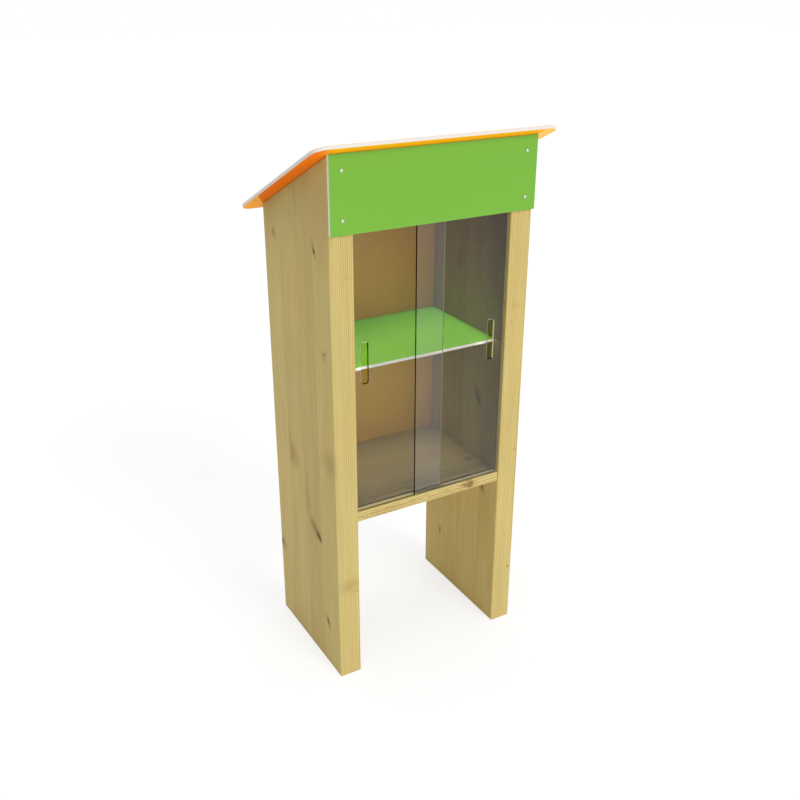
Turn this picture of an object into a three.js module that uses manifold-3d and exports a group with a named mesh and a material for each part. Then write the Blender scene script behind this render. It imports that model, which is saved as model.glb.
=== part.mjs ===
// A street book exchange box: two thick timber side panels carry a floor board, a shelf, a back
// panel, a grooved header and a sloping roof sheet, and two clear doors slide past each other.
// Millimetres, +X to the right, +Y to the back, +Z up, seen from the side where books are taken.
import * as THREE from "three";
import { mergeVertices } from "three/addons/utils/BufferGeometryUtils.js";
import Module from "manifold-3d";

const wasm = await Module();
wasm.setup();

// General fits and finishes
const seat = 0.3; // gap between two faces that sit on each other
const overrun = 5; // how far a cutting tool passes the face it cuts
const woodEase = 2; // chamfer on the arrises of solid timber
const sheetEase = 0.8; // chamfer on the arrises of sheet material
const boreSides = 16;
const arcSteps = 6; // steps in a quarter turn of a drawn corner

// Side panels
const innerWidth = 500;
const sideThickness = 70;
const sideDepth = 428;
const sideFrontHeight = 1606;
const roofPitchDegrees = 25;

// Floor board
const floorUnderside = 540;
const floorThickness = 32;
const floorSetback = 4;

// Sliding doors and the grooves they run in
const doorThickness = 6;
const trackClearance = 1; // on each face of a door
const frontTrackSetback = 10; // from the side panels' front faces to the front groove
const trackSpacing = 20; // from the front groove to the rear one
const floorTrackDepth = 8;
const doorEngagement = 8; // how far a door's top edge stands in the header
const liftSpare = 4; // what is left above a door that is lifted out of the floor groove
const doorOverlap = 102;
const doorEndGap = 0.5; // between a closed door and its side panel
const doorCornerRadius = 4;
const slotWidth = 22;
const slotLength = 124;
const slotCornerRadius = 6;
const slotInset = 45; // from a door's outer edge to the middle of its finger slot
const slotCentreAboveFloor = 453;

// Fascia and header
const fasciaHeight = 201; // from its lower edge to the top of the side panels' front faces
const fasciaThickness = 12;
const headerReveal = 20; // the header's underside above the fascia's lower edge
const headerRearLip = 9; // timber behind the rear groove

// Shelf and back panel
const shelfTop = 1007;
const shelfThickness = 10;
const shelfSetback = 54;
const shelfHousingDepth = 10;
const shelfShoulder = 2; // step in the shelf's upper face where its end enters a housing
const backThickness = 10;
const backInset = 13; // from the side panels' rear edges to the back panel's outer face
const backHousingDepth = 12;
const backTopGap = 3; // room under the roof for the back panel's square top edge

// Rear rail under the roof
const rearRailDepth = 45;
const rearRailHeight = 52; // at its back face

// Roof sheet, with its overhangs measured level
const roofThickness = 10;
const roofSideOverhang = 50;
const roofFrontOverhang = 49;
const roofRearOverhang = 58;
const roofCornerRadius = 40;

// Steel angles under the floor board
const bracketLeg = 40;
const bracketThickness = 4;
const bracketFillet = 4;
const bracketInset = 110; // from each edge of the floor board to the angle's end
const bracketScrewInset = 30; // from the angle's end to its first screw

// Fixings
const dowelDiameter = 12;
const dowelLength = 50;
const dowelChamfer = 1.5;
const headerDowelSpacing = 70;
const railDowelSpacing = 22;
const screwSides = 14;
const screwShankDiameter = 5;
const screwHeadDiameter = 10;
const screwHeadHeight = 3;
const screwPointLength = 5;
const fasciaScrewLength = 40;
const roofScrewLength = 50;
const backScrewLength = 40;
const bracketScrewLength = 26;
const fasciaScrewDrop = 36.5; // from the top of the side panels' front faces to the upper screws
const fasciaScrewRise = 38; // from the fascia's lower edge to its lower screws
const roofScrewFrontInset = 90; // along the slope from the side panel's front edge
const roofScrewRearInset = 60; // along the slope from the side panel's rear edge
const railScrewInset = 130; // from a side panel to the roof's screws into the header and rear rail
const backScrewInset = 70; // from a side panel to the back panel's outer screws

// Places worked out from the sizes above
const roofPitch = THREE.MathUtils.degToRad(roofPitchDegrees);
const roofFall = Math.tan(roofPitch);
const halfInner = innerWidth / 2;
const bodyWidth = innerWidth + 2 * sideThickness;
const sideMiddle = halfInner + sideThickness / 2;
const floorTop = floorUnderside + floorThickness;
const trackWidth = doorThickness + 2 * trackClearance;
const rearTrackSetback = frontTrackSetback + trackSpacing;
const headerDepth = rearTrackSetback + trackWidth + headerRearLip;
const headerTrackDepth = doorEngagement + floorTrackDepth + liftSpare;
const fasciaUnderside = sideFrontHeight - fasciaHeight;
const headerUnderside = fasciaUnderside + headerReveal;
const doorWidth = (innerWidth + doorOverlap) / 2 - doorEndGap;
const doorUnderside = floorTop - floorTrackDepth + seat;
const doorHeight = headerUnderside + doorEngagement - doorUnderside;
const backOuterFace = sideDepth - backInset;
const backInnerFace = backOuterFace - backThickness;
const floorDepth = backInnerFace - seat - floorSetback;
const shelfDepth = backInnerFace - seat - shelfSetback;
const bracketLength = floorDepth - 2 * bracketInset;
const railScrewReach = halfInner - railScrewInset;
const backScrewReach = halfInner - backScrewInset;

const acrossX = new THREE.Vector3(1, 0, 0);
const towardsBack = new THREE.Vector3(0, 1, 0);
const upwards = new THREE.Vector3(0, 0, 1);
const downwards = new THREE.Vector3(0, 0, -1);
const towardsFront = new THREE.Vector3(0, -1, 0);

const at = (x, y, z) => new THREE.Vector3(x, y, z);
const underRoof = (y) => sideFrontHeight - roofFall * y; // height of the side panels' sloping tops

// The roof's own frame: X across, Y down the slope, Z out of the sheet, from the side panels' top
// front arris.
const roofFrame = new THREE.Matrix4()
  .makeRotationX(-roofPitch)
  .setPosition(0, 0, sideFrontHeight);
const intoRoof = downwards.clone().transformDirection(roofFrame);

// Finishes
const pine = new THREE.MeshStandardMaterial({ color: "#cbb473", roughness: 0.62, metalness: 0 });
const greenLaminate = new THREE.MeshStandardMaterial({ color: "#7fbc47", roughness: 0.35, metalness: 0 });
const orangeLaminate = new THREE.MeshStandardMaterial({ color: "#f0a50f", roughness: 0.3, metalness: 0 });
const ochreLaminate = new THREE.MeshStandardMaterial({ color: "#cf9a52", roughness: 0.35, metalness: 0 });
const beech = new THREE.MeshStandardMaterial({ color: "#d9b98a", roughness: 0.7, metalness: 0 });
const steel = new THREE.MeshStandardMaterial({ color: "#c3c6c8", roughness: 0.32, metalness: 1 });
const clearAcrylic = new THREE.MeshStandardMaterial({
  color: "#b9bcb6",
  roughness: 0.05,
  metalness: 0,
  transparent: true,
  opacity: 0.3,
});

// Solid modelling: a closed geometry becomes a solid, and a solid becomes a flat-shaded geometry
function solidFrom(geometry) {
  const bare = geometry.clone();
  bare.deleteAttribute("normal");
  bare.deleteAttribute("uv");
  const merged = mergeVertices(bare);
  return new wasm.Manifold(
    new wasm.Mesh({
      numProp: 3,
      vertProperties: new Float32Array(merged.attributes.position.array),
      triVerts: new Uint32Array(merged.index.array),
    }),
  );
}

function geometryFrom(solid) {
  const mesh = solid.getMesh();
  const geometry = new THREE.BufferGeometry();
  geometry.setAttribute("position", new THREE.BufferAttribute(mesh.vertProperties, 3));
  geometry.setIndex(new THREE.BufferAttribute(mesh.triVerts, 1));
  const flat = geometry.toNonIndexed();
  flat.computeVertexNormals();
  return flat;
}

function cut(geometry, tools) {
  const carved = tools.reduce((solid, tool) => solid.subtract(solidFrom(tool)), solidFrom(geometry));
  return geometryFrom(carved);
}

// A box between two opposite corners
function block(low, high) {
  const size = high.clone().sub(low);
  const middle = low.clone().add(high).multiplyScalar(1 / 2);
  return new THREE.BoxGeometry(size.x, size.y, size.z).translate(middle.x, middle.y, middle.z);
}

// A round tool that enters at a mouth and runs in a direction
function bore({ mouth, direction, diameter, depth }) {
  const length = depth + overrun;
  const turn = new THREE.Quaternion().setFromUnitVectors(towardsBack, direction);
  const start = mouth.clone().addScaledVector(direction, -overrun);
  return new THREE.CylinderGeometry(diameter / 2, diameter / 2, length, boreSides)
    .translate(0, length / 2, 0)
    .applyQuaternion(turn)
    .translate(start.x, start.y, start.z);
}

// Bores given in the cabinet's frame, cut into a piece whose own origin stands at a place in it
function drill(geometry, origin, bores) {
  const moved = bores.map((one) => bore({ ...one, mouth: one.mouth.clone().sub(origin) }));
  return cut(geometry, moved);
}

// An outline carried through a thickness, its two faces eased by a small chamfer
function plate(outline, thickness, ease) {
  const geometry = new THREE.ExtrudeGeometry(outline, {
    depth: thickness - 2 * ease,
    bevelEnabled: ease > 0,
    bevelThickness: ease,
    bevelSize: ease,
    bevelOffset: -ease,
    bevelSegments: 1,
    curveSegments: arcSteps,
  });
  return geometry.translate(0, 0, ease);
}

// The same, with the outline drawn on (Y, Z) and carried along +X
function alongX(outline, length, ease) {
  const turn = new THREE.Matrix4().makeBasis(towardsBack, upwards, acrossX);
  return plate(outline, length, ease).applyMatrix4(turn);
}

// The same, with the outline drawn on (X, Z) and carried along +Y
function alongY(outline, length, ease) {
  const turn = new THREE.Matrix4().makeBasis(acrossX, upwards, towardsFront);
  return plate(outline, length, ease).applyMatrix4(turn).translate(0, length, 0);
}

function polygon(points) {
  return new THREE.Shape(points.map(([x, y]) => new THREE.Vector2(x, y)));
}

function roundedRectangle(path, left, bottom, width, height, radius) {
  const right = left + width;
  const top = bottom + height;
  const quarter = Math.PI / 2;
  path.moveTo(left + radius, bottom);
  path.lineTo(right - radius, bottom);
  path.absarc(right - radius, bottom + radius, radius, -quarter, 0);
  path.lineTo(right, top - radius);
  path.absarc(right - radius, top - radius, radius, 0, quarter);
  path.lineTo(left + radius, top);
  path.absarc(left + radius, top - radius, radius, quarter, Math.PI);
  path.lineTo(left, bottom + radius);
  path.absarc(left + radius, bottom + radius, radius, Math.PI, Math.PI + quarter);
  path.closePath();
  return path;
}

function addPiece(group, name, geometry, material, origin) {
  const mesh = new THREE.Mesh(geometry, material);
  mesh.name = name;
  mesh.position.copy(origin);
  group.add(mesh);
  return mesh;
}

// Fixings. Each is a plain description in the cabinet's frame: where it enters, which way it
// runs and how long it is.
function screwPlace(name, mouth, direction, length, sheet) {
  return { name, mouth, direction, length, sheet };
}

// The hole a screw leaves in the sheet it holds, and the one in the timber behind it
function sheetHole({ mouth, direction, sheet }) {
  const diameter = screwShankDiameter + 2 * seat;
  return { mouth, direction, diameter, depth: sheet + overrun };
}

function pilotHole({ mouth, direction, length }) {
  const diameter = screwShankDiameter + 2 * seat;
  return { mouth, direction, diameter, depth: length + seat };
}

function fasciaScrews() {
  const places = [];
  for (const [side, sign] of [["left", -1], ["right", 1]]) {
    for (const [level, z] of [
      ["top", sideFrontHeight - fasciaScrewDrop],
      ["bottom", fasciaUnderside + fasciaScrewRise],
    ]) {
      const mouth = at(sign * sideMiddle, -fasciaThickness - 2 * seat, z);
      const name = `fascia_screw_${side}_${level}`;
      places.push(screwPlace(name, mouth, towardsBack, fasciaScrewLength, fasciaThickness));
    }
  }
  return places;
}

// Roof screws, in the roof's own frame: a row into each side panel, two into each cross rail
function roofScrewSpots() {
  const slopeLength = sideDepth / Math.cos(roofPitch);
  const first = roofScrewFrontInset;
  const last = slopeLength - roofScrewRearInset;
  const spots = [];
  for (const [side, sign] of [["left", -1], ["right", 1]]) {
    [first, (first + last) / 2, last].forEach((down, index) => {
      spots.push([`roof_screw_${side}_${index + 1}`, sign * sideMiddle, down]);
    });
  }
  // A screw square to the sheet leans forward as it goes down, so it enters behind a rail's middle
  const lean = ((roofScrewLength - roofThickness) / 2) * roofFall;
  const headerDown = headerDepth / 2 / Math.cos(roofPitch) + lean;
  const railMiddle = backInnerFace - rearRailDepth / 2;
  const railDown = railMiddle / Math.cos(roofPitch) + lean / 2;
  for (const [side, sign] of [["left", -1], ["right", 1]]) {
    spots.push([`roof_screw_header_${side}`, sign * railScrewReach, headerDown]);
    spots.push([`roof_screw_rear_${side}`, sign * railScrewReach, railDown]);
  }
  return spots;
}

function roofScrews() {
  const height = roofThickness + 2 * seat;
  return roofScrewSpots().map(([name, across, down]) => {
    const mouth = at(across, down, height).applyMatrix4(roofFrame);
    return screwPlace(name, mouth, intoRoof, roofScrewLength, roofThickness);
  });
}

function backScrews() {
  const places = [];
  const railMiddle = rearRailUnderside() + rearRailHeight / 2;
  for (const [level, z] of [
    ["top", railMiddle],
    ["bottom", floorUnderside + floorThickness / 2],
  ]) {
    [-1, 0, 1].forEach((step, index) => {
      const mouth = at(step * backScrewReach, backOuterFace + seat, z);
      const name = `back_screw_${level}_${index + 1}`;
      places.push(screwPlace(name, mouth, towardsFront, backScrewLength, backThickness));
    });
  }
  return places;
}

function rearRailUnderside() {
  return underRoof(backInnerFace) - rearRailHeight;
}

function bracketFront() {
  return floorSetback + bracketInset;
}

// Screws that hold an angle: two up into the floor board and two out into the side panel
function bracketScrews(side, sign) {
  const middle = bracketThickness + (bracketLeg - bracketThickness) / 2;
  const front = bracketFront() + bracketScrewInset;
  const back = bracketFront() + bracketLength - bracketScrewInset;
  const under = floorUnderside - bracketThickness - 2 * seat;
  const inside = halfInner - bracketThickness - 2 * seat;
  const outward = acrossX.clone().multiplyScalar(sign);
  const places = [];
  [front, back].forEach((y, index) => {
    const up = at(sign * (halfInner - seat - middle), y, under);
    const out = at(sign * inside, y, floorUnderside - seat - middle);
    const number = index + 1;
    const length = bracketScrewLength;
    places.push(screwPlace(`${side}_angle_floor_screw_${number}`, up, upwards, length, bracketThickness));
    places.push(screwPlace(`${side}_angle_side_screw_${number}`, out, outward, length, bracketThickness));
  });
  return places;
}

// Dowels that join the cross members to the side panels, centred on the joint
function dowels(side, sign) {
  const floorMiddle = floorUnderside + floorThickness / 2;
  const headerMiddle = (headerUnderside + headerTrackDepth + underRoof(headerDepth)) / 2;
  const railMiddle = rearRailUnderside() + rearRailHeight / 2;
  const railY = backInnerFace - seat - rearRailDepth / 2;
  const spots = [
    ["floor", "front", floorSetback + bracketInset / 2, floorMiddle],
    ["floor", "back", floorSetback + floorDepth - bracketInset / 2, floorMiddle],
    ["header", "lower", headerDepth / 2, headerMiddle - headerDowelSpacing / 2],
    ["header", "upper", headerDepth / 2, headerMiddle + headerDowelSpacing / 2],
    ["rear_rail", "lower", railY, railMiddle - railDowelSpacing / 2],
    ["rear_rail", "upper", railY, railMiddle + railDowelSpacing / 2],
  ];
  const outward = acrossX.clone().multiplyScalar(sign);
  return spots.map(([member, level, y, z]) => {
    const mouth = at(sign * halfInner, y, z);
    return { member, name: `${member}_dowel_${side}_${level}`, mouth, direction: outward };
  });
}

// The blind holes a dowel fills: one outward into the side panel, one inward into the member
function dowelHole({ mouth, direction }, way) {
  const heading = direction.clone().multiplyScalar(way);
  const diameter = dowelDiameter + 2 * seat;
  return { mouth, direction: heading, diameter, depth: dowelLength / 2 + seat };
}

// Pieces
function makeSidePanel(side, sign) {
  const outline = polygon([
    [0, 0],
    [sideDepth, 0],
    [sideDepth, underRoof(sideDepth)],
    [0, sideFrontHeight],
  ]);
  const origin = at(sign > 0 ? halfInner : -halfInner - sideThickness, 0, 0);
  const innerFace = sign > 0 ? 0 : sideThickness;
  const reach = (depth) => innerFace + sign * depth;
  const housing = (depth, yLow, yHigh, zLow, zHigh) => {
    const near = Math.min(reach(-overrun), reach(depth));
    const far = Math.max(reach(-overrun), reach(depth));
    return block(at(near, yLow, zLow), at(far, yHigh, zHigh));
  };
  const housed = cut(alongX(outline, sideThickness, woodEase), [
    housing(
      shelfHousingDepth,
      shelfSetback - seat,
      backInnerFace + seat,
      shelfTop - shelfThickness - seat,
      shelfTop - shelfShoulder + seat,
    ),
    housing(
      backHousingDepth,
      backInnerFace - seat,
      backOuterFace + seat,
      floorUnderside - seat,
      sideFrontHeight,
    ),
  ]);
  const ownSide = (place) => Math.sign(place.mouth.x) === sign;
  const holes = [
    ...fasciaScrews().filter(ownSide).map(pilotHole),
    ...roofScrews().filter((place) => place.name.startsWith(`roof_screw_${side}`)).map(pilotHole),
    ...bracketScrews(side, sign).filter(({ direction }) => direction.x !== 0).map(pilotHole),
    ...dowels(side, sign).map((place) => dowelHole(place, 1)),
  ];
  return { geometry: drill(housed, origin, holes), origin };
}

// Holes that the dowels leave in the two ends of one cross member
function memberDowelHoles(member) {
  return [...dowels("left", -1), ...dowels("right", 1)]
    .filter((place) => place.member === member)
    .map((place) => dowelHole(place, -1));
}

// The floor board's section, front to back, with the two door grooves in its upper face
function floorSection() {
  const frontGroove = frontTrackSetback - floorSetback;
  const rearGroove = rearTrackSetback - floorSetback;
  const grooveFloor = floorThickness - floorTrackDepth;
  const groove = (start) => [
    [start + trackWidth, floorThickness],
    [start + trackWidth, grooveFloor],
    [start, grooveFloor],
    [start, floorThickness],
  ];
  return polygon([
    [0, woodEase],
    [woodEase, 0],
    [floorDepth, 0],
    [floorDepth, floorThickness],
    ...groove(rearGroove),
    ...groove(frontGroove),
    [woodEase / 2, floorThickness],
    [0, floorThickness - woodEase / 2],
  ]);
}

function makeFloorBoard() {
  const length = innerWidth - 2 * seat;
  const origin = at(-length / 2, floorSetback, floorUnderside);
  const upScrews = [...bracketScrews("left", -1), ...bracketScrews("right", 1)]
    .filter(({ direction }) => direction.z !== 0)
    .map(pilotHole);
  const rearScrews = backScrews().filter(({ name }) => name.includes("bottom")).map(pilotHole);
  const holes = [...memberDowelHoles("floor"), ...upScrews, ...rearScrews];
  return { geometry: drill(alongX(floorSection(), length, 0), origin, holes), origin };
}

// The header's section: two deep door grooves below, and a top bevelled to the roof's slope
function makeHeaderRail() {
  const length = innerWidth - 2 * seat;
  const origin = at(-length / 2, 0, headerUnderside);
  const topAt = (y) => underRoof(y) - headerUnderside;
  const groove = (start) => [
    [start, 0],
    [start, headerTrackDepth],
    [start + trackWidth, headerTrackDepth],
    [start + trackWidth, 0],
  ];
  const section = polygon([
    [0, 0],
    ...groove(frontTrackSetback),
    ...groove(rearTrackSetback),
    [headerDepth, 0],
    [headerDepth, topAt(headerDepth)],
    [0, topAt(0)],
  ]);
  const screws = roofScrews().filter(({ name }) => name.includes("header")).map(pilotHole);
  const holes = [...memberDowelHoles("header"), ...screws];
  return { geometry: drill(alongX(section, length, 0), origin, holes), origin };
}

function makeRearRail() {
  const length = innerWidth - 2 * seat;
  const back = backInnerFace - seat;
  const front = back - rearRailDepth;
  const bottom = rearRailUnderside();
  const origin = at(-length / 2, front, bottom);
  const section = polygon([
    [0, woodEase],
    [woodEase, 0],
    [rearRailDepth, 0],
    [rearRailDepth, underRoof(back) - bottom],
    [0, underRoof(front) - bottom],
  ]);
  const down = roofScrews().filter(({ name }) => name.includes("rear")).map(pilotHole);
  const through = backScrews().filter(({ name }) => name.includes("top")).map(pilotHole);
  const holes = [...memberDowelHoles("rear_rail"), ...down, ...through];
  return { geometry: drill(alongX(section, length, 0), origin, holes), origin };
}

// The shelf slides into stopped housings in both side panels. Each end is stepped down, so that
// its upper face stops at the side panel and hides the housing.
function makeShelf() {
  const width = innerWidth + 2 * (shelfHousingDepth - seat);
  const step = shelfThickness - shelfShoulder;
  const outline = polygon([
    [0, 0],
    [width, 0],
    [width, shelfDepth],
    [0, shelfDepth],
  ]);
  const origin = at(-width / 2, shelfSetback, shelfTop - shelfThickness);
  const steps = [
    [-overrun, shelfHousingDepth],
    [width - shelfHousingDepth, width + overrun],
  ].map(([from, to]) =>
    block(at(from, -overrun, step), at(to, shelfDepth + overrun, shelfThickness + overrun)),
  );
  return { geometry: cut(plate(outline, shelfThickness, sheetEase), steps), origin };
}

// The back panel drops into grooves and covers the floor board's rear edge
function makeBackPanel() {
  const width = innerWidth + 2 * (backHousingDepth - seat);
  const height = underRoof(backOuterFace) - backTopGap - floorUnderside;
  const outline = polygon([
    [0, 0],
    [width, 0],
    [width, height],
    [0, height],
  ]);
  const origin = at(-width / 2, backInnerFace, floorUnderside);
  const sheet = alongY(outline, backThickness, sheetEase);
  return { geometry: drill(sheet, origin, backScrews().map(sheetHole)), origin };
}

// The fascia's upper edge is sawn to the roof's slope, so it is highest at its front face
function makeFascia() {
  const origin = at(-bodyWidth / 2, -fasciaThickness - seat, fasciaUnderside);
  const topAt = (y) => underRoof(origin.y + y) - fasciaUnderside;
  const height = topAt(0);
  const outline = polygon([
    [0, 0],
    [bodyWidth, 0],
    [bodyWidth, height],
    [0, height],
  ]);
  const behind = fasciaThickness + overrun;
  const wedge = polygon([
    [-overrun, topAt(-overrun)],
    [behind, topAt(behind)],
    [behind, topAt(-overrun) + overrun],
    [-overrun, topAt(-overrun) + overrun],
  ]);
  const aboveSlope = alongX(wedge, bodyWidth + 2 * overrun, 0).translate(-overrun, 0, 0);
  const sheet = cut(alongY(outline, fasciaThickness, sheetEase), [aboveSlope]);
  return { geometry: drill(sheet, origin, fasciaScrews().map(sheetHole)), origin };
}

// The roof sheet is drawn flat in the roof's frame, with round corners
function makeRoofSheet() {
  const slope = Math.cos(roofPitch);
  const width = bodyWidth + 2 * roofSideOverhang;
  const length = (roofFrontOverhang + sideDepth + roofRearOverhang) / slope;
  const outline = roundedRectangle(new THREE.Shape(), 0, 0, width, length, roofCornerRadius);
  const origin = at(-width / 2, -roofFrontOverhang / slope, seat);
  const holes = roofScrewSpots().map(([, across, down]) =>
    sheetHole({ mouth: at(across, down, roofThickness + seat), direction: downwards, sheet: roofThickness }),
  );
  return { geometry: drill(plate(outline, roofThickness, sheetEase), origin, holes), origin };
}

// A door is one clear sheet with a finger slot through it near its outer edge
function makeDoor(sign, trackSetback) {
  const outline = roundedRectangle(new THREE.Shape(), 0, 0, doorWidth, doorHeight, doorCornerRadius);
  const slotMiddle = sign > 0 ? doorWidth - slotInset : slotInset;
  const slotBottom = floorTop + slotCentreAboveFloor - slotLength / 2 - doorUnderside;
  const slotLeft = slotMiddle - slotWidth / 2;
  outline.holes.push(
    roundedRectangle(new THREE.Path(), slotLeft, slotBottom, slotWidth, slotLength, slotCornerRadius),
  );
  const left = sign > 0 ? halfInner - doorEndGap - doorWidth : -halfInner + doorEndGap;
  const origin = at(left, trackSetback + trackClearance, doorUnderside);
  return { geometry: alongY(outline, doorThickness, 0), origin };
}

// A steel angle with a fillet in its inner corner, under the floor board against the side panel
function makeBracket(side, sign) {
  const outline = new THREE.Shape();
  const inner = bracketThickness + bracketFillet;
  outline.moveTo(0, 0);
  outline.lineTo(0, -bracketLeg);
  outline.lineTo(-sign * bracketThickness, -bracketLeg);
  outline.lineTo(-sign * bracketThickness, -inner);
  const from = sign > 0 ? 0 : Math.PI;
  outline.absarc(-sign * inner, -inner, bracketFillet, from, Math.PI / 2, sign < 0);
  outline.lineTo(-sign * bracketLeg, -bracketThickness);
  outline.lineTo(-sign * bracketLeg, 0);
  outline.closePath();
  const origin = at(sign * (halfInner - seat), bracketFront(), floorUnderside - seat);
  const angle = alongY(outline, bracketLength, 0);
  return { geometry: drill(angle, origin, bracketScrews(side, sign).map(sheetHole)), origin };
}

// A pan-head wood screw along +Z: the head's underside is at zero and the point is below it
function screwGeometry(length) {
  const shank = screwShankDiameter / 2;
  const head = screwHeadDiameter / 2;
  const domeSteps = arcSteps / 2;
  const profile = [
    new THREE.Vector2(0, -length),
    new THREE.Vector2(shank, -length + screwPointLength),
    new THREE.Vector2(shank, 0),
    new THREE.Vector2(head, 0),
  ];
  for (let step = 1; step < domeSteps; step += 1) {
    const angle = (step / domeSteps) * (Math.PI / 2);
    profile.push(new THREE.Vector2(head * Math.cos(angle), screwHeadHeight * Math.sin(angle)));
  }
  profile.push(new THREE.Vector2(0, screwHeadHeight));
  return new THREE.LatheGeometry(profile, screwSides).rotateX(Math.PI / 2);
}

// A dowel along +Z, its ends chamfered, centred on its own middle
function dowelGeometry() {
  const radius = dowelDiameter / 2;
  const half = dowelLength / 2;
  const profile = [
    new THREE.Vector2(0, -half),
    new THREE.Vector2(radius - dowelChamfer, -half),
    new THREE.Vector2(radius, -half + dowelChamfer),
    new THREE.Vector2(radius, half - dowelChamfer),
    new THREE.Vector2(radius - dowelChamfer, half),
    new THREE.Vector2(0, half),
  ];
  return new THREE.LatheGeometry(profile, boreSides).rotateX(Math.PI / 2);
}

// Assembly
function addBuilt(group, name, built, material) {
  addPiece(group, name, built.geometry, material, built.origin);
}

function addScrews(group, places) {
  for (const { name, mouth, direction, length } of places) {
    const screw = addPiece(group, name, screwGeometry(length), steel, mouth);
    screw.quaternion.setFromUnitVectors(downwards, direction);
  }
}

function addDowels(group, places) {
  for (const { name, mouth, direction } of places) {
    const dowel = addPiece(group, name, dowelGeometry(), beech, mouth);
    dowel.quaternion.setFromUnitVectors(upwards, direction);
  }
}

function makeCarcass() {
  const carcass = new THREE.Group();
  for (const [side, sign] of [["left", -1], ["right", 1]]) {
    addBuilt(carcass, `${side}_side_panel`, makeSidePanel(side, sign), pine);
    addBuilt(carcass, `${side}_floor_angle`, makeBracket(side, sign), steel);
    addScrews(carcass, bracketScrews(side, sign));
    addDowels(carcass, dowels(side, sign));
  }
  addBuilt(carcass, "floor_board", makeFloorBoard(), pine);
  addBuilt(carcass, "header_rail", makeHeaderRail(), pine);
  addBuilt(carcass, "rear_rail", makeRearRail(), pine);
  addBuilt(carcass, "shelf", makeShelf(), greenLaminate);
  addBuilt(carcass, "back_panel", makeBackPanel(), ochreLaminate);
  addScrews(carcass, backScrews());
  addBuilt(carcass, "fascia_panel", makeFascia(), greenLaminate);
  addScrews(carcass, fasciaScrews());
  return carcass;
}

// The roof sheet and its screws share the tilted frame
function makeRoof() {
  const roof = new THREE.Group();
  roof.applyMatrix4(roofFrame);
  addBuilt(roof, "roof_sheet", makeRoofSheet(), orangeLaminate);
  for (const [name, across, down] of roofScrewSpots()) {
    const mouth = at(across, down, roofThickness + 2 * seat);
    addPiece(roof, name, screwGeometry(roofScrewLength), steel, mouth);
  }
  return roof;
}

// The left door runs in the rear grooves and the right door in the front ones
function makeDoors() {
  const doors = new THREE.Group();
  addBuilt(doors, "left_door", makeDoor(-1, rearTrackSetback), clearAcrylic);
  addBuilt(doors, "right_door", makeDoor(1, frontTrackSetback), clearAcrylic);
  return doors;
}

// The cabinet stands with the middle of its footprint, roof included, over the origin
const roofRearReach = sideDepth + roofRearOverhang + (roofThickness + seat) * Math.sin(roofPitch);
const roofFrontReach = roofFrontOverhang - seat * Math.sin(roofPitch);
const cabinet = new THREE.Group();
cabinet.position.y = (roofFrontReach - roofRearReach) / 2;
cabinet.add(makeCarcass(), makeRoof(), makeDoors());

const group = new THREE.Group();
group.add(cabinet);

export default group;
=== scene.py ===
import math

import bpy
import numpy as np
from mathutils import Euler, Matrix, Vector


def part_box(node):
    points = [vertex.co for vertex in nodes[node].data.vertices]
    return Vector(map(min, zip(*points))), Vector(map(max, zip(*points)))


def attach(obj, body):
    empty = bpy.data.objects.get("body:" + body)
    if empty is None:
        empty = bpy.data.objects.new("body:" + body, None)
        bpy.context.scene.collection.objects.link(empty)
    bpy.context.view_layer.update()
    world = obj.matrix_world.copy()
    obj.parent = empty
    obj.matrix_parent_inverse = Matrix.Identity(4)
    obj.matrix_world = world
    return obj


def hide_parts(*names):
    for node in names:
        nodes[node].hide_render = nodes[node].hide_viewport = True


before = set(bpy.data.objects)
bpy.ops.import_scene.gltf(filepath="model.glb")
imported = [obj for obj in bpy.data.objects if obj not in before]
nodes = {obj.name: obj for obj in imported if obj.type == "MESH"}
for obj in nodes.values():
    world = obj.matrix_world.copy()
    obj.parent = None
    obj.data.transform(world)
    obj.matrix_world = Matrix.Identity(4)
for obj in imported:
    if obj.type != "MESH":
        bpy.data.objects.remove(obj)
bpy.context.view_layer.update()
millimetre = 0.001
roofPitch = math.radians(25)


# Shader maths

class Wire:  # an output socket of a material, so that sums are written as Python
    def __init__(self, paint, socket):
        self.paint = paint
        self.socket = socket

    def math(self, operation, *others):
        return self.paint.node("ShaderNodeMath", {"operation": operation}, [self, *others])

    def __add__(self, other):
        return self.math("ADD", other)

    def __sub__(self, other):
        return self.math("SUBTRACT", other)

    def __mul__(self, other):
        return self.math("MULTIPLY", other)

    def __truediv__(self, other):
        return self.math("DIVIDE", other)

    def __rsub__(self, other):
        return self.paint.node("ShaderNodeMath", {"operation": "SUBTRACT"}, [other, self])

    __radd__ = __add__
    __rmul__ = __mul__


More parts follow.
